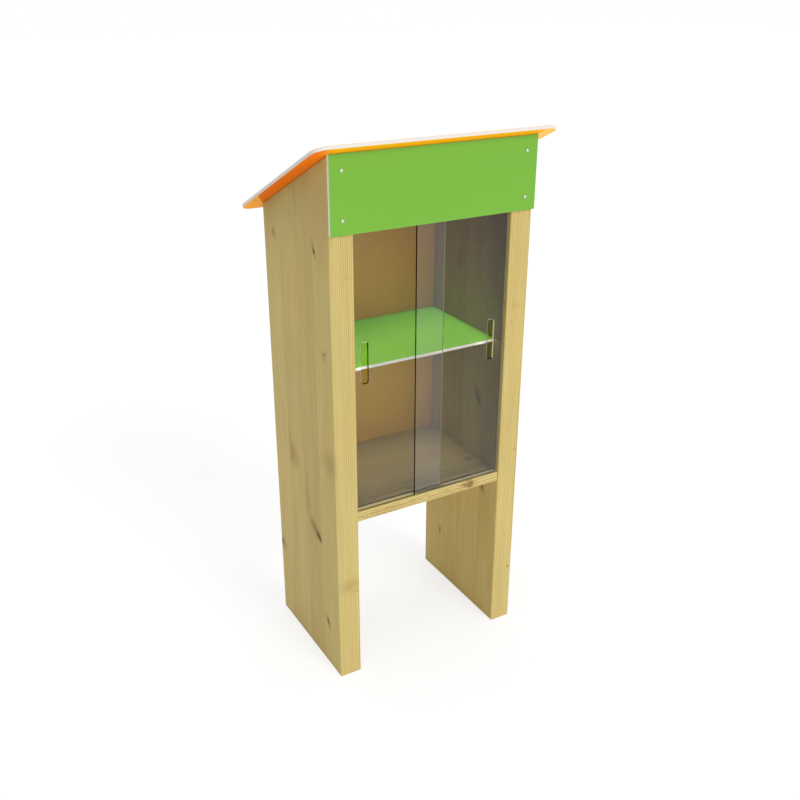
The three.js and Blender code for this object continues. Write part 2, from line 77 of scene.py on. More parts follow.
class Paint:  # a material, or the sky, while it is put together
    def __init__(self, owner):
        self.material = bpy.data.materials.new(owner) if isinstance(owner, str) else owner
        self.material.use_nodes = True
        self.tree = self.material.node_tree
        self.tree.nodes.clear()

    def node(self, kind, settings=None, sockets=None, output=0):
        made = self.tree.nodes.new(kind)
        for key, value in (settings or {}).items():
            setattr(made, key, value)
        pairs = sockets.items() if isinstance(sockets, dict) else enumerate(sockets or [])
        for key, value in pairs:
            if isinstance(value, Wire):
                self.tree.links.new(value.socket, made.inputs[key])
            elif value is not None:
                made.inputs[key].default_value = value
        if isinstance(output, (list, tuple)):
            return [Wire(self, made.outputs[one]) for one in output]
        return Wire(self, made.outputs[output]) if made.outputs else None

    def place(self):
        return self.node("ShaderNodeTexCoord", output="Object")

    def facing(self):
        return self.node("ShaderNodeTexCoord", output="Normal")

    def split(self, vector):
        return self.node("ShaderNodeSeparateXYZ", None, [vector], ["X", "Y", "Z"])

    def vector(self, x, y, z):
        return self.node("ShaderNodeCombineXYZ", None, [x, y, z])

    def vectorMath(self, operation, first, second=None, output=0):
        return self.node("ShaderNodeVectorMath", {"operation": operation}, [first, second], output)

    def scaled(self, vector, factor):
        start = vector if isinstance(vector, Wire) else vector[:3]
        return self.node("ShaderNodeVectorMath", {"operation": "SCALE"}, {0: start, "Scale": factor})

    def noise(self, vector, scale=1.0, detail=2.0, roughness=0.5):
        sockets = {"Vector": vector, "Scale": scale, "Detail": detail, "Roughness": roughness}
        return self.node("ShaderNodeTexNoise", None, sockets, "Fac")

    def chance(self, value):  # three random numbers that stay the same for one whole number
        colour = self.node("ShaderNodeTexWhiteNoise", {"noise_dimensions": "1D"}, {"W": value}, "Color")
        return self.node("ShaderNodeSeparateColor", None, [colour], [0, 1, 2])

    def smooth(self, value, low, high, start=0.0, end=1.0):
        sockets = [value, low, high, start, end]
        return self.node("ShaderNodeMapRange", {"interpolation_type": "SMOOTHSTEP"}, sockets)

    def mix(self, factor, first, second):
        sockets = {0: factor, 6: first, 7: second}
        return self.node("ShaderNodeMix", {"data_type": "RGBA"}, sockets, 2)

    def bump(self, height, distance, strength=1.0):
        sockets = {"Strength": strength, "Distance": distance, "Height": height}
        return self.node("ShaderNodeBump", None, sockets)

    def finish(self, **sockets):
        named = {self.socketName(key): value for key, value in sockets.items()}
        surface = self.node("ShaderNodeBsdfPrincipled", None, named)
        self.output(surface)
        return self.material

    def socketName(self, key):  # baseColor is the socket Base Color
        words = "".join(" " + letter if letter.isupper() else letter for letter in key)
        return words.title().replace("I O R", "IOR").replace("Ior", "IOR")

    def onlySeen(self):  # its glow is not a lamp, so no light is looked for there
        self.material.cycles.emission_sampling = "NONE"

    def output(self, surface):
        self.node("ShaderNodeOutputMaterial", None, {"Surface": surface})


def linear(red, green, blue):  # a colour as seen on a screen, 0 to 255, as the shader's own linear values
    share = np.array([red, green, blue]) / 255
    low = share / 12.92
    high = ((share + 0.055) / 1.055) ** 2.4
    return (*np.where(share <= 0.04045, low, high).tolist(), 1.0)


def nodePoints(name):
    mesh = nodes[name].data
    points = np.empty(len(mesh.vertices) * 3)
    mesh.vertices.foreach_get("co", points)
    return points.reshape(-1, 3)


def paintNode(name, material):
    nodes[name].material_slots[0].material = material


# Timber

timber = {
    "early": linear(210, 191, 124),  # pale wood of a year ring
    "redder": linear(204, 170, 102),
    "greener": linear(196, 188, 120),
    "knot": linear(88, 52, 14),
    "dirt": linear(84, 62, 30),  # painted shade in the door grooves, by the rear door sheet and behind it
    "landHighlight": linear(240, 228, 186),  # painted highlight between the door grooves
    "dust": linear(142, 136, 114),  # painted shade on the floor's top behind the doors
    "lateShare": 0.42,  # of the width of a year ring
    "ringBend": 24 * millimetre,  # how far the rings wander along a board
    "ripple": 1.6 * millimetre,
    "ringPush": 14 * millimetre,  # how far the rings bow round a knot
    "warp": 22 * millimetre,  # how ragged the rim of a stain is
    "warpFine": (24.0, 46.0),  # noise cells in a metre along the board and across it
    "lateReach": (0.84, 0.88),  # shares of a ring where its dark wood is full and starts to end
    "ringLuck": (0.6, 0.7),  # how dark a ring is: what luck adds, and the least
    "stainFull": 0.1,  # share of its radius out to which a stain is at full strength
    "knotFull": 0.5,
    "dashLevels": (0.7, 0.78),  # noise between which a dark dash fades in
    "redShares": (0.2, 0.4),  # of the redder tone, from the board and from slow noise
    "greenLevels": (0.45, 0.65, 0.0, 0.36),  # noise between which it fades in, its shares
    # how far fibre and late wood stand up and the others lie deeper
    "relief": {"fibre": 0.5, "late": 0.12, "glue": 0.6, "knot": 0.5, "dash": 0.3},
    "reliefHeight": 0.25 * millimetre,
    "glueLine": 0.7 * millimetre,
    "gloss": 0.2,
    # noise cells in a metre across and along the board, detail, roughness, and how far it moves
    # on for each board across, through and along
    "grain": {
        "bend": (6.0, 1.4, 2.0, 0.5, (0.0, 0.0, 7.3)),
        "ripple": (70.0, 7.0, 2.0, 0.5, (0.0, 0.0, 0.0)),
        "fibre": (900.0, 12.0, 3.0, 0.6, (0.0, 0.0, 0.0)),
        "streak": (150.0, 3.0, 2.0, 0.5, (0.0, 0.0, 0.0)),
        "dash": (360.0, 16.0, 1.0, 0.5, (0.0, 0.0, 0.0)),
        "slow": (9.0, 2.4, 2.0, 0.5, (3.7, 0.0, 0.0)),
        "patch": (16.0, 2.2, 2.0, 0.5, (0.0, 5.1, 0.0)),
    },
    # how much each makes the timber lighter or darker, as a share
    "boardShade": 0.12,
    "grainShade": 0.2,
    "slowShade": 0.22,
    "glueShade": 0.14,
    "endShade": 0.16,
}


def grain(paint, spot, number, kind):
    # Noise drawn out along the board, spot being the place across, through and along it
    fine, long, detail, roughness, shifts = timber["grain"][kind]
    moved = [
        axis * scale + number * shift if shift else axis * scale
        for axis, scale, shift in zip(spot, (fine, fine, long), shifts)
    ]
    return paint.noise(paint.vector(*moved), 1.0, detail, roughness)


def pine(name, axes, boards, stains=(), knots=()):
    # Boards glued edge to edge. The year rings of each are circles round a heart off the board, so
    # ring = distance to the heart / ring width, and the pattern runs on round every arris.
    paint = Paint(name)
    place = paint.place()
    split = dict(zip("xyz", paint.split(place)))
    normal = dict(zip("xyz", paint.split(paint.facing())))
    along, across, through = (split[axis] for axis in axes)
    spot = (across, through, along)
    boardAt = (across - boards["start"]) / boards["width"]
    number = boardAt.math("FLOOR")
    share = boardAt - number
    luck, shade, turn = paint.chance(number + boards["seed"])

    ragged = raggedPlace(paint, place, axes[0])
    stained = stainField(paint, ragged, number, axes[1], boards, stains, timber["stainFull"])
    knotted = stainField(paint, ragged, number, axes[1], boards, knots, timber["knotFull"])

    bend = grain(paint, spot, number, "bend") - 0.5
    ripple = grain(paint, spot, number, "ripple") - 0.5
    side = turn.math("GREATER_THAN", 0.5) * 2.0 - 1.0
    fromHeart = (share - 0.5) * boards["width"] + (luck - 0.5) * boards["heartSpread"]
    depth = through - boards["middle"] + side * boards["heartDepth"]
    radius = (fromHeart * fromHeart + depth * depth).math("SQRT")
    grown = radius + bend * timber["ringBend"] + ripple * timber["ripple"] + stained * timber["ringPush"]
    ring = grown / boards["ringWidth"]
    ringNumber = ring.math("FLOOR")
    saw = ring - ringNumber
    ringLuck = paint.chance(ringNumber + number * 31.0)[0]
    full, ending = timber["lateReach"]
    late = paint.smooth(saw, boards["lateStart"], full) * paint.smooth(saw, ending, 1.0, 1.0, 0.0)

    # Faces that cut the rings show them sharply, and faces along them faintly
    lean = (normal[axes[1]] * fromHeart + normal[axes[2]] * depth) / radius
    cutAcross = (1.0 - lean * lean).math("MAXIMUM", 0.0)
    sharpness = cutAcross * (boards["contrast"] - boards["flatContrast"]) + boards["flatContrast"]
    fromLuck, least = timber["ringLuck"]
    darkness = late * (ringLuck * fromLuck + least) - timber["lateShare"]
    strength = darkness * sharpness + boards["lateMean"]

    fibre = grain(paint, spot, number, "fibre")
    streak = grain(paint, spot, number, "streak")
    dash = paint.smooth(grain(paint, spot, number, "dash"), *timber["dashLevels"])
    slow = grain(paint, spot, number, "slow")
    patch = grain(paint, spot, number, "patch")
    edge = (0.5 - (share - 0.5).math("ABSOLUTE")) * boards["width"]
    glue = paint.smooth(edge, 0.0, timber["glueLine"], 1.0, 0.0)
    endGrain = normal[axes[0]].math("ABSOLUTE").math("GREATER_THAN", 0.7)

    colour = paint.mix(strength, timber["early"], boards["late"])
    fromBoard, fromSlow = timber["redShares"]
    colour = paint.mix(shade * fromBoard + (slow - 0.4) * fromSlow, colour, timber["redder"])
    colour = paint.mix(paint.smooth(patch, *timber["greenLevels"]), colour, timber["greener"])
    fine = (fibre - 0.5) * timber["grainShade"] + (streak - 0.5) * timber["grainShade"]
    level = boards["tone"] + (luck - 0.5) * timber["boardShade"] + fine - dash * timber["grainShade"]
    level = level + (slow - 0.5) * timber["slowShade"]
    level = level - glue * timber["glueShade"] - endGrain * timber["endShade"]
    colour = paint.scaled(colour, level)
    if "inwards" in boards:
        colour = sidePanelTones(paint, split, normal["x"] * boards["inwards"], boards, colour)
    colour = paint.mix(stained * (streak * 0.8 + fibre * 0.8 + 0.2), colour, boards["cloud"])
    colour = paint.mix(knotted * (fibre * 1.2 + 0.4), colour, timber["knot"])
    # Painted highlight and painted shade on the land between the door grooves, and painted shade in them
    if "grooves" in boards:
        landHighlight, landShade = landLightAndShade(split, boards, paint)
        colour = paint.mix(landHighlight, colour, timber["landHighlight"])
        colour = paint.mix(landShade, colour, timber["dirt"])
        colour = paint.mix(grooveShade(split, boards["grooves"], paint), colour, timber["dirt"])
    # Painted shade, greyish, on the floor's top behind the doors
    if "dust" in boards:
        behind = split["y"].math("GREATER_THAN", boards["grooves"][1]) if "grooves" in boards else 0.0
        shadedInside = paint.smooth(normal["z"], 0.7, 0.95) * (slow * 0.6 + 0.7) * behind
        colour = paint.mix(shadedInside * boards["dust"], colour, timber["dust"])

    rise = timber["relief"]
    relief = fibre * rise["fibre"] + late * rise["late"] - glue * rise["glue"]
    relief = relief - knotted * rise["knot"] - dash * rise["dash"]
    return paint.finish(
        baseColor=colour,
        roughness=0.5 + (fibre - 0.5) * 0.3 + late * 0.06 + knotted * 0.3,
        normal=paint.bump(relief, timber["reliefHeight"], 0.5),
        specularIORLevel=timber["gloss"],
    )


def raggedPlace(paint, place, alongAxis):  # the place pushed about by noise, for stains' ragged rims
    slow, fine = timber["warpFine"]
    cells = [slow if axis == alongAxis else fine for axis in "xyz"]
    spread = paint.vectorMath("MULTIPLY", place, cells)
    sockets = {"Vector": spread, "Scale": 1.0, "Detail": 6.0, "Roughness": 0.66}
    wander = paint.node("ShaderNodeTexNoise", None, sockets, "Color")
    pushed = paint.vectorMath("SUBTRACT", wander, (0.5, 0.5, 0.5))
    return paint.vectorMath("ADD", place, paint.scaled(pushed, timber["warp"]))


def sidePanelTones(paint, split, inwards, boards, colour):
    # Painted shade: behind the doors the wall is painted darker and browner over the shelf, against
    # the green light from it, and painted greyer under it
    inside = split["y"].math("GREATER_THAN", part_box("right_door")[0].y) * inwards.math("GREATER_THAN", 0.5)
    inside = inside * split["z"].math("GREATER_THAN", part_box("floor_board")[1].z)
    above = split["z"].math("GREATER_THAN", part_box("shelf")[1].z)
    tone = paint.mix(above, boards["lower"], boards["upper"])
    colour = paint.mix(inside, colour, paint.vectorMath("MULTIPLY", colour, tone))

    # Painted shade: the outer face is painted darker where it comes near the roof, more so towards
    # the rear, and the whole outer face a little yellower for how light falls on it
    outwards = inwards.math("LESS_THAN", -0.7)
    colour = paint.mix(outwards, colour, paint.vectorMath("MULTIPLY", colour, boards["outer"]))
    back = split["y"] - boards["start"]
    slope = back * math.tan(roofPitch) + split["z"]
    near = paint.smooth(slope, boards["topHeight"] - boards["roofShade"], boards["topHeight"])
    growth, least = boards["roofShadeGrowth"]
    near = near * outwards * (back * growth + least)
    return paint.mix(near, colour, paint.vectorMath("MULTIPLY", colour, boards["underRoof"]))


def landLightAndShade(split, boards, paint):
    # Between the grooves the timber is painted pale as a highlight, with a painted dark line of shade
    # against the rear sheet, and behind that sheet painted shade thins out over the floor
    front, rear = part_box("right_door")[1].y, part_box("left_door")[0].y
    top = split["z"].math("GREATER_THAN", boards["grooves"][2] - millimetre)
    fromMiddle = (split["y"] - (front + rear) / 2).math("ABSOLUTE")
    pale = fromMiddle.math("LESS_THAN", (rear - front) / 2 - boards["landInset"])
    dark = (split["y"] - rear + millimetre).math("ABSOLUTE").math("LESS_THAN", boards["shadeLine"])
    behind = split["y"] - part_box("left_door")[1].y
    shade = paint.smooth(behind, 0.0, boards["shadeReach"], boards["shadeBehind"], 0.0)
    shade = shade * behind.math("GREATER_THAN", 0.0)
    return pale * top * boards["highlightShare"], (dark * boards["lineShare"]).math("MAXIMUM", shade) * top


def grooveShade(split, grooves, paint):  # painted shade, which grows from the mouth of a groove down to its bottom
    low, high, top, bottom = grooves
    fromMiddle = (split["y"] - (low + high) / 2).math("ABSOLUTE")
    within = fromMiddle.math("LESS_THAN", (high - low) / 2 + millimetre)
    above = split["z"].math("GREATER_THAN", bottom - millimetre)
    full, gone, strength = crossMembers["grooveShade"]
    down = paint.smooth(split["z"], top - full, top - gone, strength, 0.0)
    return down * within * above


def stainField(paint, place, number, acrossAxis, boards, stains, full):
    # The darkest of several ellipsoids, each full out to a share of its radius and gone at its
    # surface, and each kept to the board that it grew in
    field = None
    for centre, radii, turn, strength in stains:
        sockets = {"Vector": place, "Location": centre, "Rotation": turn, "Scale": radii}
        local = paint.node("ShaderNodeMapping", {"vector_type": "TEXTURE"}, sockets)
        reach = paint.vectorMath("LENGTH", local, None, "Value")
        board = math.floor((centre["xyz".index(acrossAxis)] - boards["start"]) / boards["width"])
        sameBoard = number.math("COMPARE", float(board), 0.5)
        one = paint.smooth(reach, full, 1.0, strength, 0.0) * sameBoard
        field = one if field is None else field.math("MAXIMUM", one)
    return number * 0.0 if field is None else field


sidePanels = {
    "boardsInPanel": 4,
    "ringWidth": 5.8 * millimetre,
    "late": linear(184, 156, 84),  # darker wood of a year ring
    "lateMean": 0.42,
    "lateStart": 0.2,
    "cloud": linear(138, 102, 36),  # stained wood round a knot
    # painted tints for light and shade that the colour is multiplied by: inside over the shelf and
    # under it, outside, near the roof
    "upper": (0.74, 0.66, 0.98, 1.0),
    "lower": (0.94, 1.1, 1.25, 1.0),
    "outer": (1.0, 1.0, 0.94),
    "underRoof": (0.74, 0.86, 0.82),
    "roofShade": 120 * millimetre,
    "roofShadeGrowth": (1.6, 0.4),  # what a metre to the rear adds to its strength, and the least
    "heartSpread": 30 * millimetre,
    "heartDepth": 165 * millimetre,
    "contrast": 1.0,  # of the rings on a face that cuts them
    "flatContrast": 0.08,
    # face, millimetres from the front edge (on the front face, from the outer side) and above the
    # ground, half width and half height, lean towards the rear in degrees, strength
    "leftStains": [
        ("outer", 94, 1352, 16, 50, 20, 0.55), ("outer", 52, 1062, 24, 26, 40, 0.4),
        ("outer", 356, 1334, 34, 36, 0, 0.45), ("outer", 300, 655, 56, 70, 14, 0.45),
        # The two large faint clouds on the next line are painted shade under the roof
        ("outer", 48, 1450, 120, 190, 0, 0.24), ("outer", 380, 1390, 110, 150, 0, 0.2),
        ("outer", 150, 460, 40, 52, 50, 0.5),
        ("outer", 316, 705, 14, 64, 0, 0.35), ("outer", 146, 458, 28, 76, 55, 0.8),
        ("outer", 200, 540, 24, 100, 8, 0.3), ("outer", 424, 266, 56, 38, 0, 0.65),
        ("outer", 82, 160, 17, 40, 30, 0.6), ("outer", 40, 735, 64, 66, 0, 0.34),
        ("outer", 318, 965, 3, 42, 3, 0.5), ("outer", 108, 1290, 3, 46, 0, 0.4),
        ("outer", 240, 1400, 40, 70, 0, 0.14), ("outer", 104, 690, 4, 60, 0, 0.3),
        ("inner", 250, 240, 22, 46, -30, 0.5), ("inner", 150, 1180, 26, 50, 20, 0.45),
        ("front", 42, 330, 64, 34, 0, 0.3), ("front", 56, 303, 26, 4, 0, 0.4),
        # The last mark on the next line is a painted shadow line under the fascia
        ("front", 48, 1290, 28, 10, 0, 0.16), ("front", 35, 1404, 60, 5, 0, 0.8),
    ],
    "leftKnots": [
        ("outer", 92, 1346, 6, 13, 30, 0.8), ("outer", 43, 1070, 5, 5, 0, 1.0),
        ("outer", 360, 1340, 8, 10, 0, 0.25), ("outer", 124, 446, 9, 26, 50, 1.0),
        ("outer", 425, 266, 12, 13, 0, 0.75), ("outer", 80, 160, 5, 15, 38, 0.85),
        ("inner", 250, 240, 9, 14, -30, 0.7), ("inner", 150, 1180, 9, 16, 20, 0.7),
    ],
    "rightStains": [
        ("inner", 330, 182, 13, 32, 0, 0.5), ("inner", 88, 476, 26, 40, 30, 0.45),
        ("inner", 131, 790, 22, 60, 35, 0.5), ("inner", 250, 1210, 24, 60, -10, 0.3),
        ("inner", 214, 330, 4, 120, 0, 0.4), ("inner", 96, 330, 3, 130, 0, 0.4),
        ("outer", 110, 980, 26, 60, 25, 0.5), ("outer", 300, 420, 24, 52, -20, 0.5),
        ("outer", 240, 1330, 22, 48, 10, 0.4), ("outer", 60, 180, 16, 40, 0, 0.4),
        ("front", 8, 640, 18, 7, 0, 0.4), ("front", 40, 1120, 30, 12, 0, 0.14),
        # The next mark is a painted shadow line under the fascia
        ("front", 35, 1404, 60, 5, 0, 0.8),
    ],
    "rightKnots": [
        ("inner", 330, 182, 4, 9, 0, 0.7), ("inner", 83, 478, 6, 12, 20, 0.8),
        ("inner", 126, 776, 5, 26, 40, 0.5), ("outer", 106, 972, 9, 15, 25, 0.8),
        ("outer", 300, 420, 8, 12, -20, 0.8), ("outer", 60, 180, 6, 10, 0, 0.7),
        ("front", 12, 200, 6, 6, 0, 0.6),
    ],
    "stainDepth": 14 * millimetre,
    "seeds": {"left": 3.0, "right": 12.0},
    "tones": {"left": 1.0, "right": 1.08},
}


def panelMarks(side, marks):
    low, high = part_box(side + "_side_panel")
    outer, inner = (low.x, high.x) if side == "left" else (high.x, low.x)
    placed = []
    for face, back, up, halfWide, halfHigh, lean, strength in marks:
        depth, tilt = sidePanels["stainDepth"], math.radians(lean)
        wide, tall, back, up = (one * millimetre for one in (halfWide, halfHigh, back, up))
        if face == "front":
            x = outer + back * (1 if side == "left" else -1)
            placed.append(((x, low.y, up), (wide, depth, tall), (0, tilt, 0), strength))
        else:
            x = outer if face == "outer" else inner
            placed.append(((x, low.y + back, up), (depth, wide, tall), (-tilt, 0, 0), strength))
    return placed


def paintSidePanels():
    for side in ("left", "right"):
        low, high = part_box(side + "_side_panel")
        boards = dict(sidePanels)
        boards["start"] = low.y
        boards["width"] = (high.y - low.y) / sidePanels["boardsInPanel"]
        boards["middle"] = (low.x + high.x) / 2
        boards["seed"] = sidePanels["seeds"][side]
        boards["tone"] = sidePanels["tones"][side]
        boards["inwards"] = 1.0 if side == "left" else -1.0
        boards["topHeight"] = high.z
        stains = panelMarks(side, sidePanels[side + "Stains"])
        knots = panelMarks(side, sidePanels[side + "Knots"])
        paintNode(side + "_side_panel", pine(side + "PanelPine", "zyx", boards, stains, knots))


crossMembers = {
    "ringWidth": 7.0 * millimetre,
    "late": linear(136, 102, 46),
    "lateMean": 0.26,
    "lateStart": 0.5,
    "cloud": linear(134, 92, 44),
    "tone": 1.06,
    "heartSpread": 40 * millimetre,
    "heartDepth": 80 * millimetre,
    "contrast": 1.1,
    "flatContrast": 0.05,
    # strength of the painted shade on the floor's top behind the doors
    "dust": 0.15,
    "width": 134 * millimetre,
    "grooveDepth": 8 * millimetre,
    "landInset": 2 * millimetre,
    "shadeLine": 1.5 * millimetre,
    "shadeReach": 45 * millimetre,
    # strength of the painted highlight, of the painted dark line of shade and of the painted shade behind
    # the sheets
    "highlightShare": 0.6,
    "lineShare": 0.8,
    "shadeBehind": 0.45,
    "grooveShade": (4 * millimetre, 0.5 * millimetre, 0.6),  # painted shade in a groove: depths where it is full and gone, strength
    # the axes along, across and through each member's boards, and its seed
    "members": {
        "floor_board": ("xyz", 21.0), "header_rail": ("xzy", 26.0), "rear_rail": ("xzy", 29.0),
    },
    # millimetres from the middle, from the front edge and above the underside, the three half
    # sizes, strength
    "floorStains": [
        (138, 2, 18, 46, 16, 17, 0.7), (120, 0, 24, 22, 14, 5, 0.6), (216, 128, 32, 28, 22, 10, 0.4),
        (-170, 0, 4, 90, 14, 1.8, 0.7), (-120, 0, 9, 130, 14, 1.6, 0.7), (-190, 0, 14, 80, 14, 1.8, 0.6),
        (-60, 0, 15, 110, 14, 1.6, 0.5), (-110, 0, 20, 150, 14, 2.0, 0.7), (-190, 0, 25, 70, 14, 1.8, 0.5),
        (-20, 0, 26, 120, 14, 1.6, 0.4), (40, 0, 10, 110, 14, 1.8, 0.5), (60, 0, 19, 90, 14, 1.6, 0.4),
    ],
    "floorKnots": [
        (146, 0, 16, 16, 12, 9, 0.45), (128, 0, 22, 10, 12, 4, 0.5),
        (216, 126, 32, 10, 7, 8, 0.3),
    ],
}


def crossMarks(low, marks):
    placed = []
    for x, back, up, wide, deep, tall, strength in marks:
        centre = (x * millimetre, low["y"] + back * millimetre, low["z"] + up * millimetre)
        radii = tuple(one * millimetre for one in (wide, deep, tall))
        placed.append((centre, radii, (0, 0, 0), strength))
    return placed


def grooveReach(name):  # front and back of the grooves together, the board's top and their bottom
    points = nodePoints(name)
    top = points[:, 2].max()
    bottom = top - crossMembers["grooveDepth"]
    deep = points[np.abs(points[:, 2] - bottom) < 0.1 * millimetre, 1]
    return float(deep.min()), float(deep.max()), float(top), float(bottom)


def paintCrossMembers():
    for name, (axes, seed) in crossMembers["members"].items():
        low, high = (dict(zip("xyz", corner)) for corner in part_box(name))
        boards = dict(crossMembers)
        boards["start"] = low[axes[1]]
        boards["middle"] = (low[axes[2]] + high[axes[2]]) / 2
        boards["seed"] = seed
        isFloor = name == "floor_board"
        if isFloor:
            boards["grooves"] = grooveReach(name)
        stains = crossMarks(low, crossMembers["floorStains"]) if isFloor else ()
        knots = crossMarks(low, crossMembers["floorKnots"]) if isFloor else ()
        paintNode(name, pine(name + "Pine", axes, boards, stains, knots))


# Coloured sheets over a white core

sheets = {
    "decorDepth": 0.75 * millimetre,
    # noise cells in a metre, and how much each makes the sheet lighter or darker; side is painted
    # light on edges that face left or right
    "cells": {"cloud": 3.2, "smudge": 16.0, "speck": 900.0, "plies": 2600.0, "sawn": 260.0},
    "shades": {"cloud": 0.07, "speck": 0.05, "side": 0.14, "plies": 0.08, "sawn": 0.1},
    "core": linear(224, 219, 207),
    "roofCore": linear(222, 217, 212),
    "fasciaCore": linear(214, 226, 198),
    "green": linear(109, 170, 46),
    "orange": linear(233, 117, 19),
    "rearLitOrange": linear(255, 170, 38),  # painted light under the overhang behind the side panels
    "paleLitOrange": linear(255, 196, 96),  # painted light and reflection under the right overhang
    "fadedAndLitOrange": linear(247, 178, 16),  # painted light on the strip in front of the fascia; the upper face is faded to it
    "litFrontReach": (8 * millimetre, 56 * millimetre),  # reach of the painted light from the roof's front edge
    "litCornerReach": (10 * millimetre, 60 * millimetre),  # from its left edge
    "rearLightSlant": 1.9,  # how far the painted rear light runs forward under the left overhang
    "ochre": linear(219, 176, 72),
    "shadedUmber": linear(212, 156, 50),  # painted shade on the back panel's inner face above the shelf, against the shelf's green light
    "shelfShade": (0.38, 0.56, 0.56),  # at the rear left corner
    "cornerWeights": (0.25, 0.75),  # of the ways to the left and to the rear
    "fascia": {
        "node": "fascia_panel", "colour": "green", "core": "fasciaCore", "seed": 1.0,
        "rough": 0.2, "gloss": 0.4, "across": (0, 1, 0),
    },
    "shelf": {
        "node": "shelf", "colour": "green", "core": "core", "seed": 2.0,
        "rough": 0.2, "gloss": 0.4, "across": (0, 0, 1),
    },
    "back": {
        "node": "back_panel", "colour": "ochre", "core": "core", "seed": 3.0,
        "rough": 0.3, "gloss": 0.3, "across": (0, 1, 0),
    },
    "roof": {
        "node": "roof_sheet", "colour": "orange", "core": "roofCore", "seed": 4.0,
        "rough": 0.5, "gloss": 0.03, "across": (0, math.sin(roofPitch), math.cos(roofPitch)),
    },
}


def roofColour(paint, x, y, upper):
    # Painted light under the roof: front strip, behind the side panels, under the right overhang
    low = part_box("roof_sheet")[0]
    left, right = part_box("left_side_panel"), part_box("right_side_panel")
    front = paint.smooth(y - low.y, *sheets["litFrontReach"], 1.0, 0.0)
    front = front * paint.smooth(x - low.x, *sheets["litCornerReach"])
    colour = paint.mix(front.math("MAXIMUM", upper), sheets["orange"], sheets["fadedAndLitOrange"])
    overhang = (left[0].x - x).math("MAXIMUM", 0.0)
    rear = (y + overhang * sheets["rearLightSlant"]).math("GREATER_THAN", left[1].y) * (1.0 - upper)
    colour = paint.mix(rear, colour, sheets["rearLitOrange"])
    beyond = x.math("GREATER_THAN", right[1].x) * (1.0 - upper)
    return paint.mix(beyond, colour, sheets["paleLitOrange"])


def backColour(paint, z, outer):  # painted shade: browner over the shelf on the inner face, against the green light from the shelf
    above = z.math("GREATER_THAN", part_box("shelf")[0].z) * (1.0 - outer)
    return paint.mix(above, sheets["ochre"], sheets["shadedUmber"])


def shelfColour(paint, x, y):  # darker towards the rear left corner
    low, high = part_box("shelf")
    leftward, rearward = sheets["cornerWeights"]
    corner = (high.x - x) / (high.x - low.x) * leftward + (y - low.y) / (high.y - low.y) * rearward
    shaded = paint.vectorMath("MULTIPLY", sheets["green"][:3], sheets["shelfShade"])
    return paint.mix(paint.smooth(corner, 0.35, 1.0), sheets["green"], shaded)


def decorSheet(key):
    # A point is in the coloured layer when its depth under the nearer broad face is less than the
    # layer's thickness, so every edge and hole shows the white core.
    sheet = sheets[key]
    paint = Paint(sheet["node"] + "Sheet")
    place = paint.place()
    x, y, z = paint.split(place)
    reach = nodePoints(sheet["node"]) @ np.array(sheet["across"])
    low, high = float(reach.min()), float(reach.max())
    level = paint.vectorMath("DOT_PRODUCT", place, sheet["across"], "Value")
    depth = (level - low).math("MINIMUM", high - level)
    layer = sheets["decorDepth"]
    core = paint.smooth(depth, layer * 0.85, layer * 1.15)
    farSide = level.math("GREATER_THAN", (low + high) / 2)

    moved = paint.vectorMath("ADD", place, (sheet["seed"], 0.0, 0.0))
    cells, shades = sheets["cells"], sheets["shades"]
    cloud = paint.noise(paint.scaled(moved, cells["cloud"]), 1.0, 3.0)
    smudge = paint.noise(paint.scaled(moved, cells["smudge"]), 1.0, 4.0, 0.65)
    speck = paint.noise(paint.scaled(moved, cells["speck"]), 1.0, 2.0)
    plies = paint.noise(paint.vector(level * cells["plies"], 0.0, 0.0), 1.0, 1.0)
    sawn = paint.noise(paint.scaled(moved, cells["sawn"]), 1.0, 2.0)

    colour = sheets[sheet["colour"]]
    if key == "roof":
        colour = roofColour(paint, x, y, farSide)
    elif key == "back":
        colour = backColour(paint, z, farSide)
    elif key == "shelf":
        colour = shelfColour(paint, x, y)
    colour = paint.scaled(colour, 1.0 + (cloud - 0.5) * shades["cloud"] + (speck - 0.5) * shades["speck"])
    # Painted light: edges that face left or right are painted lighter
    sideLight = paint.split(paint.facing())[0].math("ABSOLUTE")
    edgeLevel = 1.0 + sideLight * shades["side"] + (plies - 0.5) * shades["plies"]
    edgeLevel = edgeLevel + (sawn - 0.5) * shades["sawn"]
    return paint.finish(
        baseColor=paint.mix(core, colour, paint.scaled(sheets[sheet["core"]], edgeLevel)),
        roughness=sheet["rough"] + (smudge - 0.5) * 0.16 + core * 0.4,
        normal=paint.bump(speck + core * sawn * 3.0, 0.02 * millimetre, 0.35),
        specularIORLevel=sheet["gloss"],
    )


def paintSheets():
    for key in ("fascia", "shelf", "back", "roof"):
        paintNode(sheets[key]["node"], decorSheet(key))


# Metal and dowels

metals = {
    # tinted green, a painted reflection of the green fascia
    "zinc": linear(208, 220, 202),
    "zincShade": linear(150, 156, 154),
    "screwRoughness": 0.38,
    "angleRoughness": 0.36,
    "beech": linear(222, 190, 142),
    "beechFleck": linear(176, 136, 92),
}


def zincSteel(name, roughness):
    # Plated steel: cells of slightly different brightness under fine turning marks
    paint = Paint(name)
    place = paint.place()
    cells = paint.node("ShaderNodeTexVoronoi", None, {"Vector": place, "Scale": 420.0}, "Color")
    cellShade = paint.node("ShaderNodeSeparateColor", None, [cells], [0])[0]
    cloud = paint.noise(paint.scaled(place, 180.0), 1.0, 3.0)
    fine = paint.noise(paint.scaled(place, 2400.0), 1.0, 2.0)
    return paint.finish(
        baseColor=paint.mix(cellShade * 0.3 + cloud * 0.3, metals["zinc"], metals["zincShade"]),
        metallic=1.0,
        roughness=roughness + (cloud - 0.5) * 0.2 + (cellShade - 0.5) * 0.08,
        normal=paint.bump(fine, 0.02 * millimetre, 0.4),
    )


